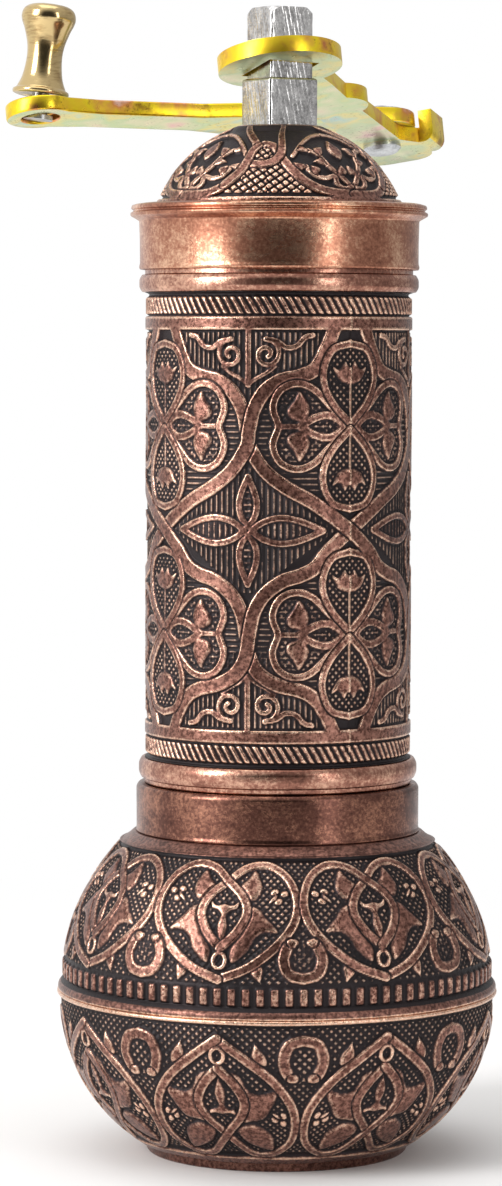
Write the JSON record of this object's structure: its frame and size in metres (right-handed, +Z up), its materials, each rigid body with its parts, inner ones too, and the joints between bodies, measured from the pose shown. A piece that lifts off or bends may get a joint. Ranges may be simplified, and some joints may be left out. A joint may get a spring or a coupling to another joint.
{
  "type": "turkish coffee grinder",
  "caption": "Turkish hand mill in antiqued copper castings: bulb-shaped bowl, ornamented barrel, domed cap, folding yellow crank with a turned brass knob, and conical burrs inside.",
  "frame": {"origin": "on the mill's axis, in the plane of the foot's underside", "axes": "+Z up along the spindle, -Y towards the viewer of the picture, +X to the viewer's right"},
  "size_m": [0.0627, 0.0773, 0.1443],
  "materials": {
    "copper_bowl": "antique copper plate on a zinc casting, dark patina in the relief",
    "copper_barrel": "antique copper plate on a zinc casting, dark patina in the relief",
    "copper_cap": "antique copper plate, worn bright on the flange and band",
    "spindle_steel": "drawn square bar, scratched",
    "bridge_steel": "stamped, zinc plated",
    "washer_steel": "zinc plated",
    "spring_steel": "oiled spring steel",
    "burr_steel": "hardened, machined teeth",
    "bush_brass": "turned",
    "nut_brass": "turned and grooved",
    "crank_passivated": "stamped steel, yellow chromate with pink and green bloom",
    "rivet_steel": "bright",
    "knob_brass": "turned and polished"
  },
  "bodies": {
    "bowl": {"lower_bowl": "copper_bowl", "upper_bowl": "copper_bowl"},
    "barrel": {"barrel": "copper_barrel", "upper_bridge": "bridge_steel", "upper_bush": "bush_brass", "lower_bridge": "bridge_steel", "lower_bush": "bush_brass", "bridge_screws": "washer_steel", "outer_burr": "burr_steel"},
    "cap": {"cap": "copper_cap"},
    "spindle": {"spindle": "spindle_steel", "thrust_washer": "washer_steel", "retaining_clip": "spring_steel", "spring_washer": "washer_steel", "burr_spring": "spring_steel"},
    "cone": {"inner_burr": "burr_steel"},
    "adjuster": {"adjusting_nut": "nut_brass", "lock_nut": "nut_brass"},
    "crank": {"hub_plate": "crank_passivated", "fold_rivet": "rivet_steel", "fold_washer": "rivet_steel"},
    "arm": {"crank_arm": "crank_passivated", "knob_pin": "rivet_steel"},
    "knob": {"knob": "knob_brass"}
  },
  "joints": [
    {"name": "barrel_lift", "type": "slide", "parent": "bowl", "child": "barrel", "axis": [0, 0, 1], "range_m": [0, 0.03]},
    {"name": "spindle_turn", "type": "hinge", "parent": "barrel", "child": "spindle", "pos_m": [0, 0, 0.1074], "axis": [0, 0, 1], "continuous": true},
    {"name": "burr_slide", "type": "slide", "parent": "spindle", "child": "cone", "axis": [0, 0, 1], "range_m": [-0.0006999, 0.00017497], "deforming": ["burr_spring"]},
    {"name": "adjuster_turn", "type": "hinge", "parent": "cone", "child": "adjuster", "pos_m": [0, 0, 0.0485], "axis": [0, 0, 1], "range_deg": [-360, 90]},
    {"name": "crank_lift", "type": "slide", "parent": "spindle", "child": "crank", "axis": [0, 0, 1], "range_m": [0, 0.07]},
    {"name": "cap_lift", "type": "slide", "parent": "barrel", "child": "cap", "axis": [0, 0, 1], "range_m": [0, 0.035]},
    {"name": "arm_fold", "type": "hinge", "parent": "crank", "child": "arm", "pos_m": [0.01389, 0.03937, 0.12699], "axis": [-0.0923, 0.2172, 0.9718], "range_deg": [-133.4, 20]},
    {"name": "knob_spin", "type": "hinge", "parent": "arm", "child": "knob", "pos_m": [-0.03072, 0.01966, 0.13127], "axis": [0.1043, 0.0694, 0.9921], "continuous": true}
  ],
  "couplings": [
    {"joint": "adjuster_turn", "follows": "burr_slide", "rad_per_m": 8976},
    {"joint": "cap_lift", "follows": "crank_lift", "ratio": 0.5}
  ]
}
